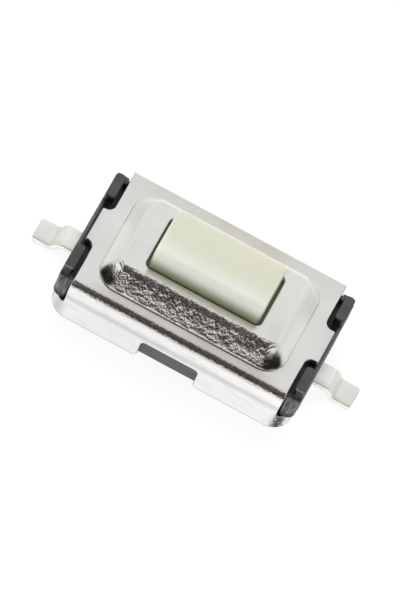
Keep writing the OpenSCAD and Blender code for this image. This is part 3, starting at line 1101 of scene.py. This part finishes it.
@dataclass
class Cover:
    """The stamped cover: one sheet, drawn up round the window, bent over the long sides and wrapped round."""

    sheet: float = 0.15
    half_w: float = 1.75
    plate_z: float = 1.36
    low_z: float = 0.08
    bend_radii: Span = (0.17, 0.36)
    bend_change: float = math.radians(62.0)
    rear_sharper: float = 0.125
    wrap_x: float = 2.97
    wrap_r: float = 0.5
    wrap_z: float = 0.55
    open_y: float = 1.0
    plate_ends: Span = (2.875, 2.925)
    tongue_y: float = 0.475
    notch_x: float = 2.655
    notch_r: float = 0.17
    notch_foot_r: float = 0.08
    skirt_notch_x: float = 0.7
    skirt_notch_z: float = 0.69
    skirt_notch_r: float = 0.1
    plateau_x: float = 2.31
    plateau_y: float = 1.38
    plateau_z: float = 1.9
    slope: float = 60.0
    crown_corner_r: float = 0.11
    crown_r: float = 0.2
    foot_r: float = 0.03
    side_lean: Triple = (55.0, 59.5, 72.0)
    corner_lean: Triple = (58.0, 50.0, 45.0)
    window: Triple = (1.43, 0.75, 0.14)
    cut_edge_r: float = 0.024
    spacing: float = 0.024
    coarse: float = 0.1
    blank_half: Span = (3.5, 2.94)
    drawn_zone: float = 0.6
    foot_zone: Triple = (0.02, 0.035, 0.007)
    sharper_fade: Span = (0.14, 0.3)
    wrap_fade: Span = (0.7, 1.05)
    corner_fade: float = 0.25

    def __post_init__(self) -> None:
        """Works out the plateau's corner axes and its profile."""
        slope = math.radians(self.slope)
        tangent = self.crown_r * math.tan(slope / 2)
        foot = self.crown_corner_r + tangent + (self.plateau_z - self.plate_z) / math.tan(slope)
        self.axis_x, self.axis_y = self.plateau_x - foot, self.plateau_y - foot
        self.reach = foot + self.foot_r * math.tan(slope / 2)
        self.side_profile = self._profile(self.side_lean)
        self.corner_profile = self._profile(self.corner_lean)
        tight, wide = self.bend_radii
        turn = self.bend_change
        self.tight_arc, self.wide_arc = tight * turn, wide * (math.pi / 2 - turn)
        self.flat_w = self.half_w - tight * math.sin(turn) - wide * (1 - math.sin(turn))
        self.bend_z = self.plate_z - tight * (1 - math.cos(turn)) - wide * math.cos(turn)

    def _profile(self, lean: tuple[float, float, float]) -> tuple[np.ndarray, np.ndarray]:
        """Distance from the corner axes against height above the plate, down the plateau's side.

        Args:
            lean: The side's slope in degrees below the crown, low down and just above the foot.

        Returns:
            Distances and heights.
        """
        top, low, last = np.radians(lean)
        height = self.plateau_z - self.plate_z
        rounds = self.crown_r * (1 - math.cos(top)) + self.foot_r * (1 - math.cos(last))
        sines = 0.9 * (math.sin(top) + math.sin(low)) / 2 + 0.1 * (math.sin(low) + math.sin(last)) / 2
        side = (height - rounds) / sines
        marks = np.cumsum([0.0, self.crown_r * top, 0.9 * side, 0.1 * side, self.foot_r * last])
        way = np.linspace(0, marks[-1], 800)
        angle = np.interp(way, marks, [0.0, top, low, last, 0.0])
        out = np.cumsum(np.cos(angle)) * (way[1] - way[0])
        drop = np.cumsum(np.sin(angle))
        return self.reach + out - out[-1], height * (1 - (drop - drop[0]) / (drop[-1] - drop[0]))

    def _unrolled(self, z: float) -> float:
        """Distance of a height on the skirt from the middle line, along the sheet."""
        return self.flat_w + self.tight_arc + self.wide_arc + self.bend_z - z

    def surface(self, s: np.ndarray, w: np.ndarray) -> np.ndarray:
        """Places points of the flat blank on the formed sheet's outer face.

        Args:
            s: Places along the body on the blank.
            w: Places across it.

        Returns:
            The points.
        """
        far, aside = np.abs(w), np.abs(s)
        flat, (tight, wide) = self.flat_w, self.bend_radii
        change = self.bend_change
        first = np.clip((far - flat) / tight, 0, change)
        later = np.clip((far - flat - self.tight_arc) / wide, 0, math.pi / 2 - change) + change
        y = np.minimum(far, flat) + tight * np.sin(first) + wide * (np.sin(later) - math.sin(change))
        z = self.plate_z - tight * (1 - np.cos(first)) - wide * (math.cos(change) - np.cos(later))
        bent = far - flat - self.tight_arc - self.wide_arc
        z -= np.maximum(bent, 0)
        angle = np.where(first < change, first, later)
        sharper = self.rear_sharper * (w > 0)
        before, below = self.sharper_fade
        y += sharper * np.clip((far - flat) / before + 1, 0, 1) * (1 - np.sin(angle))
        z += sharper * np.clip(1 - bent / below, 0, 1) * (1 - np.cos(angle))
        straight = self.wrap_x - self.wrap_r
        over = np.maximum(aside - straight, 0)
        corner = np.minimum(over / self.wrap_r, math.pi / 2)
        rest = np.maximum(over - self.wrap_r * math.pi / 2, 0)
        wrapped_x = np.where(over > 0, straight + self.wrap_r * np.sin(corner), aside)
        wrapped_y = self.half_w - self.wrap_r * (1 - np.cos(corner)) - rest
        share = 1 - smooth_share(z, *self.wrap_fade)
        x = aside + (wrapped_x - aside) * share
        y = y + (wrapped_y - y) * share
        beyond_x, beyond_y = np.maximum(aside - self.axis_x, 0), np.maximum(far - self.axis_y, 0)
        reach = np.hypot(beyond_x, beyond_y)
        diagonal = (2 * beyond_x * beyond_y / np.maximum(reach, 1e-6) ** 2) ** 2
        corner = diagonal * np.minimum(reach / self.corner_fade, 1) ** 2
        side, drawn = (np.interp(reach, *profile) for profile in (self.side_profile, self.corner_profile))
        z = z + (side + (drawn - side) * corner) * (far < flat)
        return np.stack([np.sign(s) * x, np.sign(w) * y, z], axis=-1)

    def facing(self, s: np.ndarray, w: np.ndarray) -> np.ndarray:
        """The formed sheet's outward normals at points of the blank.

        Args:
            s: Places along the body on the blank.
            w: Places across it.

        Returns:
            The normals.
        """
        e = 2e-4
        along = self.surface(s + e, w) - self.surface(s - e, w)
        across = self.surface(s, w + e) - self.surface(s, w - e)
        normal = np.cross(along, across)
        return normal / np.linalg.norm(normal, axis=1, keepdims=True)

    def _blank(self) -> tuple[np.ndarray, np.ndarray]:
        """The flat blank.

        Returns:
            Its outline, anticlockwise, and its window, clockwise.
        """
        wrapped = self.wrap_r * math.pi / 2
        end = self.wrap_x - self.wrap_r + wrapped + (self.half_w - self.wrap_r - self.open_y)
        low, foot, top = (self._unrolled(z) for z in (self.low_z, self.wrap_z, self.skirt_notch_z))
        burr, hem = 0.03, 0.04
        quarter = [
            (self.skirt_notch_x, top, self.skirt_notch_r),
            (self.skirt_notch_x, low, self.skirt_notch_r),
            (end, low, hem),
            (end, foot, hem),
            (self.notch_x, foot, self.notch_foot_r),
            (self.notch_x, self.tongue_y, self.notch_r),
        ]
        halves = []
        for side, plate_end in zip((-1, 1), self.plate_ends):
            back = [*quarter, (plate_end, self.tongue_y, burr)]
            half = [(x, -y, r) for x, y, r in back] + back[::-1]
            halves.append(half if side > 0 else [(-x, y, r) for x, y, r in half][::-1])
        left, right = halves
        half_l, half_w, radius = self.window
        hole = [(x * half_l, y * half_w, radius) for x, y in ((1, 1), (1, -1), (-1, -1), (-1, 1))]
        return rounded_outline(right + left, self.spacing), rounded_outline(hole, self.spacing)

    def _grid(self, loops: list) -> np.ndarray:
        """Points inside the blank, closer together where it is bent or drawn.

        Args:
            loops: The outline and the window.

        Returns:
            The points.
        """
        length, width = self.blank_half
        drawn, (before, after, foot) = self.drawn_zone, self.foot_zone
        s_lines = lines(length, self.coarse, [
            (self.axis_x, self.axis_x + drawn, 0.018),
            (self.plateau_x - before, self.plateau_x + after, foot),
            (2.44, 3.3, 0.05),
        ])
        w_lines = lines(width, self.coarse, [
            (self.axis_y, self.axis_y + drawn, 0.016),
            (self.plateau_y - before, self.plateau_y + after, foot),
            (self.flat_w, self.flat_w + self.tight_arc + self.wide_arc, 0.02),
        ])
        s, w = np.meshgrid(s_lines, w_lines)
        points = np.stack([s.ravel(), w.ravel()], axis=1)
        beyond = np.abs(points) - (self.axis_x, self.axis_y)
        drawn_corner = (beyond.min(1) > 0) & (np.hypot(*beyond.T) < self.reach + 0.05)
        points = np.concatenate([points[~drawn_corner], self._corner_rings()])
        points = points[inside(points, loops[0]) & ~inside(points, loops[1])]
        rim = np.concatenate(loops)
        near = np.empty(len(points))
        for start in range(0, len(points), 3000):
            part = points[start : start + 3000, None, :] - rim
            near[start : start + 3000] = np.sqrt((part**2).sum(-1)).min(1)
        return points[near > 0.6 * self.spacing]

    def _corner_rings(self) -> np.ndarray:
        """Points in rings about the plateau's four corner axes, closest together at the foot.

        Returns:
            The points.
        """
        reaches = lines(self.reach + 0.04, 0.02, [(self.reach - 0.05, self.reach + 0.03, 0.007)])
        points = []
        for reach in reaches[reaches > 0]:
            turns = np.radians(np.linspace(1.5, 88.5, max(3, int(reach * 55))))
            ring = reach * np.stack([np.cos(turns), np.sin(turns)], axis=1) + (self.axis_x, self.axis_y)
            points += [ring * (side, end) for side in (-1, 1) for end in (-1, 1)]
        return np.concatenate(points)

    def _edge(self, shell: Shell, loop: np.ndarray, outer: int, inner: int, spots: np.ndarray) -> None:
        """Closes the sheet's cut edge along one loop, with its two corners rounded.

        Args:
            shell: The sheet.
            loop: The numbers of the loop's points.
            outer: Number of the outer face's first point.
            inner: Number of the inner face's first point.
            spots: The sheet's points on the blank.
        """
        s, w = spots[loop].T
        place, normal = self.surface(s, w), self.facing(s, w)
        along = np.roll(place, -1, 0) - np.roll(place, 1, 0)
        out = np.cross(along, normal)
        out /= np.linalg.norm(out, axis=1, keepdims=True)
        r, t = self.cut_edge_r, self.sheet
        rings = [outer + loop]
        for turn, depth in ((30, 0), (60, 0), (90, 0), (90, t), (45, t)):
            a = math.radians(turn)
            sink = r * (1 - math.cos(a)) if depth == 0 else t - r * (1 - math.cos(a))
            lean = math.cos(a) if depth == 0 else -math.cos(a)
            first = shell.add_points(place + out * r * math.sin(a) - normal * sink)
            shell.normals.extend(out * math.sin(a) + normal * lean)
            shell.cut.extend([math.sin(a) ** 2 if depth == 0 else 1.0] * len(loop))
            rings.append(np.arange(first, first + len(loop)))
        rings.append(inner + loop)
        for upper, lower in zip(rings, rings[1:]):
            for i in range(len(loop)):
                j = (i + 1) % len(loop)
                shell.faces.append((int(upper[i]), int(lower[i]), int(lower[j]), int(upper[j])))

    def build(self) -> bpy.types.Object:
        """Cuts the blank and forms it.

        Returns:
            The piece.
        """
        loops = [inset(loop, self.cut_edge_r) for loop in self._blank()]
        rim = np.concatenate(loops)
        spots = np.concatenate([rim, self._grid(loops)])
        sizes = [len(loop) for loop in loops]
        rings = [np.arange(sizes[0]), np.arange(sizes[0], sizes[0] + sizes[1])]
        ties = [(int(a), int(b)) for ring in rings for a, b in zip(ring, np.roll(ring, -1))]
        cut = delaunay_2d_cdt([Vector(p) for p in spots], ties, [], 0, 1e-7)
        spots = np.array([tuple(p) for p in cut[0]])
        faces = np.array(cut[2])
        middles = spots[faces].mean(1)
        faces = faces[inside(middles, loops[0]) & ~inside(middles, loops[1])]
        order = np.empty(len(rim), int)
        for made, sources in enumerate(cut[3]):
            for source in sources:
                if source < len(rim):
                    order[source] = made
        place, normal = self.surface(*spots.T), self.facing(*spots.T)
        shell = Shell()
        outer = shell.add_points(place)
        inner = shell.add_points(place - normal * self.sheet)
        shell.normals = [*normal, *-normal]
        shell.cut = [0.0] * len(shell.points)
        shell.faces = [tuple(map(int, face)) for face in faces]
        shell.faces += [tuple(int(i) + inner for i in face[::-1]) for face in faces]
        for ring in rings:
            self._edge(shell, order[ring], outer, inner, spots)
        return shell.piece("cover_sheet")


@dataclass
class Shoulders:
    """The moulding's two rear shoulders, each between a rear post and the cover, level with the plate."""

    inner_x: float = 2.675
    outer_x: float = 2.975
    inner_y: float = 1.3
    outer_y: float = 1.495
    low_z: float = 1.14
    top_z: float = 1.36
    corner_r: float = 0.04
    edge_r: float = 0.035

    def build(self) -> bpy.types.Object:
        """Builds both shoulders as one piece.

        Returns:
            The piece.
        """
        shell = Shell()
        half_l, half_w = (self.outer_x - self.inner_x) / 2, (self.outer_y - self.inner_y) / 2
        middle = np.array([self.inner_x + half_l, self.inner_y + half_w, 0.0])
        levels = [(self.low_z, 0.0)]
        for turn in np.radians((0, 22, 45, 68, 90)):
            drop, by = self.edge_r * (1 - math.sin(turn)), self.edge_r * (1 - math.cos(turn))
            levels.append((self.top_z - drop, by))
        for side in (-1, 1):
            place = middle * (side, 1, 1)
            shell.loft([ring_rect(half_l - by, half_w - by, self.corner_r, z) + place for z, by in levels])
        return shell.piece("base_shoulders")


@dataclass
class Button:
    """The resin button: cap, flange under the cover and plunger."""

    half_l: float = 1.36
    half_w: float = 0.68
    corner_r: float = 0.07
    top_z: float = 2.5
    long_r: float = 0.15
    short_r: float = 0.055
    crown: float = 0.012
    flange: Triple = (1.8027, 0.8727, 0.11)
    flange_z: Span = (1.47, 1.74)
    plunger_r: float = 0.45
    plunger_z: float = 1.2
    plunger_edge: Span = (0.04, 0.012)
    small_r: float = 0.02
    edge_steps: int = 10
    top_steps: int = 11

    def _cap_rings(self) -> list:
        """Rings of the cap, from the flange to the middle of its top.

        Returns:
            The rings.
        """
        edge_z = self.top_z - self.crown
        rings = [self._ring(self.half_l, self.half_w, edge_z - self.long_r)]
        for i in range(1, self.edge_steps + 1):
            a = math.radians(90 * i / self.edge_steps)
            z = edge_z - self.long_r + self.long_r * math.sin(a)
            rise = max(0.0, z - (edge_z - self.short_r))
            back = self.short_r - math.sqrt(max(0.0, self.short_r**2 - rise**2))
            rings.append(self._ring(self.half_l - back, self.half_w - self.long_r * (1 - math.cos(a)), z))
        room = self.half_w - self.long_r
        for i in range(1, self.top_steps + 1):
            by = room * 0.95 * i / self.top_steps
            z = edge_z + self.crown * (1 - (1 - i / self.top_steps) ** 2)
            rings.append(self._ring(self.half_l - self.short_r - by, room - by, z))
        return rings

    def _ring(self, half_l: float, half_w: float, z: float) -> np.ndarray:
        """One ring of the cap; its corner radius fits the ring."""
        return ring_rect(half_l, half_w, min(self.corner_r, 0.8 * half_w), z, 8, 12)

    def build(self) -> bpy.types.Object:
        """Builds the button.

        Returns:
            The piece.
        """
        shell = Shell()
        long, wide, corner = self.flange
        low, high = self.flange_z
        r = self.small_r
        flange = rounded_levels(low, high, r)
        rings = [ring_rect(long - by, wide - by, corner, z, 8, 12) for z, by in flange]
        rings.append(self._ring(self.half_l + r, self.half_w + r, high))
        rings.append(self._ring(self.half_l, self.half_w, high + r))
        shell.loft(rings + self._cap_rings())
        tip, (wide_by, small_by) = self.plunger_z, self.plunger_edge
        stem = [(tip, wide_by), (tip + small_by, small_by), (tip + wide_by, 0.0), (low + 0.1, 0.0)]
        shell.loft([ring_circle(self.plunger_r - by, z) for z, by in stem])
        return shell.piece("button_cap")


@dataclass
class Leads:
    """The two bent strips, from toe to contact."""

    span: float = 8.0
    width: float = 0.59
    thick: float = 0.14
    foot: float = 0.4
    rise: float = 0.24
    bend_r: float = 0.1
    turn: float = 72.0
    contact_z: float = 0.83
    edge_r: float = 0.025
    toe_r: float = 0.07
    pad_l: float = 0.6
    bar: Span = (1.3, 1.65)
    arm: Triple = (-0.9, 0.7875, 1.1875)
    toe_rings: tuple[float, ...] = (0.004, 0.012, 0.025, 0.045)
    toe_flat: float = 0.15
    bend_steps: int = 12

    def _ramp(self, rise: float) -> tuple[float, float, float]:
        """The measures of a step of the strip in two bends.

        Args:
            rise: Height of the step.

        Returns:
            The middle line's bend radius, the angle of each bend, and the step's whole length.
        """
        r, turn = self.bend_r + self.thick / 2, math.radians(self.turn)
        ramp = (rise - 2 * r * (1 - math.cos(turn))) / math.sin(turn)
        return r, turn, 2 * r * math.sin(turn) + ramp * math.cos(turn)

    def _step(self, x: float, z: float, rise: float) -> list:
        """Middle line of a strip that comes along -X and steps up in two bends.

        Args:
            x: Where the step starts.
            z: The middle line's height there.
            rise: Height of the step.

        Returns:
            The points.
        """
        r, turn, run = self._ramp(rise)
        turns = np.linspace(0, turn, self.bend_steps)
        first = [(x - r * math.sin(a), z + r * (1 - math.cos(a))) for a in turns]
        turns = np.linspace(turn, 0, self.bend_steps)
        return first + [(x - run + r * math.sin(a), z + rise - r * (1 - math.cos(a))) for a in turns]

    def _strip(self, shell: Shell, inner_x: float, last_x: float, side: int) -> None:
        """Sweeps the strip's section with round edges along its middle line.

        Args:
            shell: The piece.
            inner_x: Where the step inside the base starts.
            last_x: Where the strip ends.
            side: 1 for the lead on the +X side and -1 for the other.
        """
        half_t = self.thick / 2
        toe = self.span / 2
        ends = (*self.toe_rings, self.toe_r)
        path = [(toe - by, half_t) for by in (*ends, self.toe_flat)]
        path += self._step(toe - self.foot, half_t, self.rise)
        inner_rise = self.contact_z - self.thick - self.rise
        path += self._step(inner_x, half_t + self.rise, inner_rise)
        path.append((last_x, self.contact_z - half_t))
        path = np.array(path)
        along = np.gradient(path, axis=0)
        along /= np.linalg.norm(along, axis=1, keepdims=True)
        up = np.stack([along[:, 1], -along[:, 0]], axis=1)
        rings = []
        for k, (spot, rise) in enumerate(zip(path, up)):
            short, thin = 0.0, 0.0
            if k < len(ends):
                short = self.toe_r * (1 - math.sqrt(1 - (1 - ends[k] / self.toe_r) ** 2))
                thin = self.edge_r * (1 - min(1.0, ends[k] / self.edge_r)) ** 2
            shape = ring_rect(self.width / 2 - short, half_t - thin, self.edge_r, 0.0, 3, 4)
            x = spot[0] + rise[0] * shape[:, 1]
            z = spot[1] + rise[1] * shape[:, 1]
            rings.append(np.stack([side * x, side * -shape[:, 0], z], axis=1)[:: -1])
        shell.loft(rings[::-1])

    def _flat(self, shell: Shell, corners: list) -> None:
        """Adds a flat stamping at the contacts' level.

        Args:
            shell: The piece.
            corners: Its outline's corners, anticlockwise.
        """
        outline = rounded_outline([(x, y, 0.05) for x, y in corners], 0.06)
        rings = []
        for z, by in rounded_levels(self.contact_z - self.thick, self.contact_z, self.edge_r):
            flat = inset(outline, by)
            rings.append(np.column_stack([flat, np.full(len(flat), z)]))
        shell.loft(rings)

    def build(self) -> list[bpy.types.Object]:
        """Builds both terminals.

        Returns:
            The centre terminal's piece and the rim terminal's.
        """
        *_, run = self._ramp(self.contact_z - self.thick - self.rise)
        centre, rim = Shell(), Shell()
        self._strip(centre, self.pad_l / 2 + run, -self.pad_l / 2, -1)
        self._strip(rim, self.bar[1] + run, self.bar[0] + 0.1, 1)
        tip, inner_y, outer_y = self.arm
        near, far = self.bar
        fork = [(far, -outer_y), (far, outer_y), (tip, outer_y), (tip, inner_y), (near, inner_y),
                (near, -inner_y), (tip, -inner_y), (tip, -outer_y)]
        self._flat(rim, fork)
        return [centre.piece("lead_left"), rim.piece("lead_right")]


@dataclass
class Contacts:
    """The snap dome and the film over it."""

    dome_r: float = 1.25
    dome_low: float = 0.84
    dome_drop: float = 0.21
    dome_t: float = 0.06
    dome_rings: int = 16
    dome_bulge: float = 0.004
    film: Triple = (1.7, 1.4, 0.3)
    film_z: Span = (1.14, 1.19)
    film_edge_r: float = 0.008
    dome_keep: float = 0.2
    film_anchor: float = -0.06
    film_keep: float = 0.8

    def _dome(self) -> bpy.types.Object:
        """A shallow round cap with its edge rounded.

        Returns:
            The piece.
        """
        shell = Shell()
        shares = [1.0 - i / self.dome_rings for i in range(self.dome_rings)]
        lower = [(self.dome_r * s, self.dome_low + self.dome_drop * (1 - s * s)) for s in shares]
        rings = [ring_circle(r, z) for r, z in lower[::-1]]
        rings.append(ring_circle(self.dome_r + self.dome_bulge, self.dome_low + self.dome_t / 2))
        rings += [ring_circle(r, z + self.dome_t) for r, z in lower]
        shell.loft(rings)
        return shell.piece("snap_dome")

    def _film(self) -> bpy.types.Object:
        """A thin sheet with round corners.

        Returns:
            The piece.
        """
        shell = Shell()
        half_l, half_w, radius = self.film
        low, high = self.film_z
        r = self.film_edge_r
        levels = [(low, r), (low + r, 0.0), (high - r, 0.0), (high, r)]
        shell.loft([ring_rect(half_l - by, half_w - by, radius, z, 8, 8) for z, by in levels])
        return shell.piece("dome_cover_film")

    def build(self) -> list[bpy.types.Object]:
        """Builds the dome and the film.

        Returns:
            The dome and the film.
        """
        return [self._dome(), self._film()]


# Studio and camera


@dataclass(frozen=True)
class Viewpoint:
    """The photograph's viewing angle."""

    azimuth: float = 3.1009
    elevation: float = 55.6576
    roll: float = 25.7245
    distance: float = 0.227
    lens: float = 618.63
    target: Triple = (0.0, 0.0, 0.001)
    aside: Span = (-0.000126, -0.00016)

    def place(self) -> None:
        """Makes the camera."""
        azimuth, elevation, roll = (math.radians(a) for a in (self.azimuth, self.elevation, self.roll))
        low = math.cos(elevation)
        back = Vector((math.sin(azimuth) * low, -math.cos(azimuth) * low, math.sin(elevation)))
        level = Vector((math.cos(azimuth), math.sin(azimuth), 0.0))
        rise = back.cross(level)
        right = math.cos(roll) * level + math.sin(roll) * rise
        up = -math.sin(roll) * level + math.cos(roll) * rise
        data = bpy.data.cameras.new("camera")
        data.lens, data.sensor_width, data.sensor_fit = self.lens, 36.0, "AUTO"
        data.clip_start, data.clip_end = 0.01, 10.0
        camera = place_object("camera", data)
        where = Vector(self.target) + back * self.distance + right * self.aside[0] + up * self.aside[1]
        turn = Matrix((right, up, back)).transposed().to_4x4()
        camera.matrix_world = Matrix.Translation(where) @ turn
        bpy.context.scene.camera = camera


@dataclass(frozen=True)
class Card:
    """A black card. It is hidden from the camera, and all other rays meet it."""

    name: str
    radius: float = 0.3
    steps: int = 24

    def _make(self, points: list) -> None:
        """Makes the card.

        Args:
            points: The points along it, two for each step and two more.
        """
        mesh = bpy.data.meshes.new(self.name)
        faces = [(2 * k, 2 * k + 1, 2 * k + 3, 2 * k + 2) for k in range(self.steps)]
        mesh.from_pydata(points, [], faces)
        card = place_object(self.name, mesh)
        dress(card, Felt(self.name))
        card.visible_camera = False

    def overhead(self, half: float, low: float, high: float) -> None:
        """Makes it a band from the front up and over the part.

        Args:
            half: Half its width.
            low: Where it starts, in degrees above the front horizon.
            high: Where it ends.
        """
        points = []
        for angle in np.radians(np.linspace(low, high, self.steps + 1)):
            y, z = -self.radius * math.cos(angle), self.radius * math.sin(angle)
            points += [(-half, y, z), (half, y, z)]
        self._make(points)

    def around(self, spread: float, low: float, high: float) -> None:
        """Makes it a low fence about the front.

        Args:
            spread: How far it goes to each side, in degrees.
            low: Height of its lower edge.
            high: Height of its upper edge.
        """
        points = []
        for angle in np.radians(np.linspace(-spread, spread, self.steps + 1)):
            x, y = self.radius * math.sin(angle), -self.radius * math.cos(angle)
            points += [(x, y, low), (x, y, high)]
        self._make(points)


@dataclass(frozen=True)
class Studio:
    """A white floor, soft light from behind and above, and black cards before and over the part."""

    floor_half: float = 1.2
    world_light: float = 0.6
    world_seen: float = 0.78

    def build(self) -> None:
        """Makes the floor, the cards, the lamps and the world."""
        bpy.context.scene.view_settings.view_transform = "Standard"
        self._floor()
        Card("card_overhead").overhead(half=0.22, low=2.0, high=102.0)
        Card("card_fence", radius=0.31).around(spread=86.0, low=0.008, high=0.14)
        self._lamp("back_window", where=(0.0, 0.42, 0.5), size=0.5, power=3.4)
        self._lamp("left_window", where=(-0.55, 0.1, 0.4), size=0.4, power=1.2)
        self._lamp("front_fill", where=(0.0, -0.22, 0.15), size=0.14, power=0.5)
        self._world()

    def _floor(self) -> None:
        """A plain white floor that keeps a soft shadow."""
        half = self.floor_half
        mesh = bpy.data.meshes.new("floor")
        corners = [(-half, -half, 0), (half, -half, 0), (half, half, 0), (-half, half, 0)]
        mesh.from_pydata(corners, [], [(0, 1, 2, 3)])
        floor = place_object("floor", mesh)
        dress(floor, FloorPaper())

    @staticmethod
    def _lamp(name: str, where: tuple[float, float, float], size: float, power: float) -> None:
        """A square soft lamp that faces the part.

        Args:
            name: The lamp's name.
            where: Its place, in metres.
            size: Its side, in metres.
            power: Its power, in watts.
        """
        data = bpy.data.lights.new(name, "AREA")
        data.shape, data.size, data.energy = "SQUARE", size, power
        lamp = place_object(name, data)
        lamp.location = where
        lamp.rotation_mode = "QUATERNION"
        lamp.rotation_quaternion = Vector(where).to_track_quat("Z", "Y")
        lamp.visible_glossy = False

    def _world(self) -> None:
        """One level for what is reflected and another for what it lights."""
        world = bpy.data.worlds.new("studio")
        bpy.context.scene.world = world
        world.use_nodes = True
        graph = Graph(world.node_tree)
        level = seen(graph) * (self.world_seen - self.world_light) + self.world_light
        light = graph.node("ShaderNodeBackground", {}, {"Color": grey(1.0), "Strength": level})
        graph.node("ShaderNodeOutputWorld", {}, {"Surface": light})


def stand_in(piece: bpy.types.Object, node: str, body: Body, finish: Finish) -> None:
    """Puts a detailed piece in the place of a CAD node.

    Args:
        piece: The piece.
        node: The node that it stands for.
        body: The body that it rides on.
        finish: Its finish.
    """
    dress(piece, finish)
    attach(piece, body.value)
    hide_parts(node)
    LOG.info("%s: %d faces, %s", piece.name, len(piece.data.polygons), finish.title)


def main() -> None:
    """Builds the studio and the pieces."""
    logging.basicConfig(level=logging.INFO, format="%(name)s: %(message)s")
    Viewpoint().place()
    Studio().build()
    stand_in(Cover().build(), "cover", Body.FIXED, TinnedSheet())
    stand_in(Button().build(), "button", Body.BUTTON, CreamResin())
    left, right = Leads().build()
    stand_in(left, "centre_terminal", Body.FIXED, SilverPlating())
    stand_in(right, "rim_terminal", Body.FIXED, SilverPlating())
    contacts = Contacts()
    dome, film = contacts.build()
    stand_in(dome, "contact_dome", Body.FIXED, SpringSteel())
    stand_in(film, "dome_film", Body.FIXED, AmberFilm())
    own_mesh(dome)
    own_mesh(film)
    moulding = BlackMoulding()
    dress(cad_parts["base"], moulding)
    shoulders = Shoulders().build()
    dress(shoulders, moulding)
    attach(shoulders, Body.FIXED.value)
    LOG.info("%s: %d faces, %s", shoulders.name, len(shoulders.data.polygons), moulding.title)


if __name__ == "__main__":
    main()
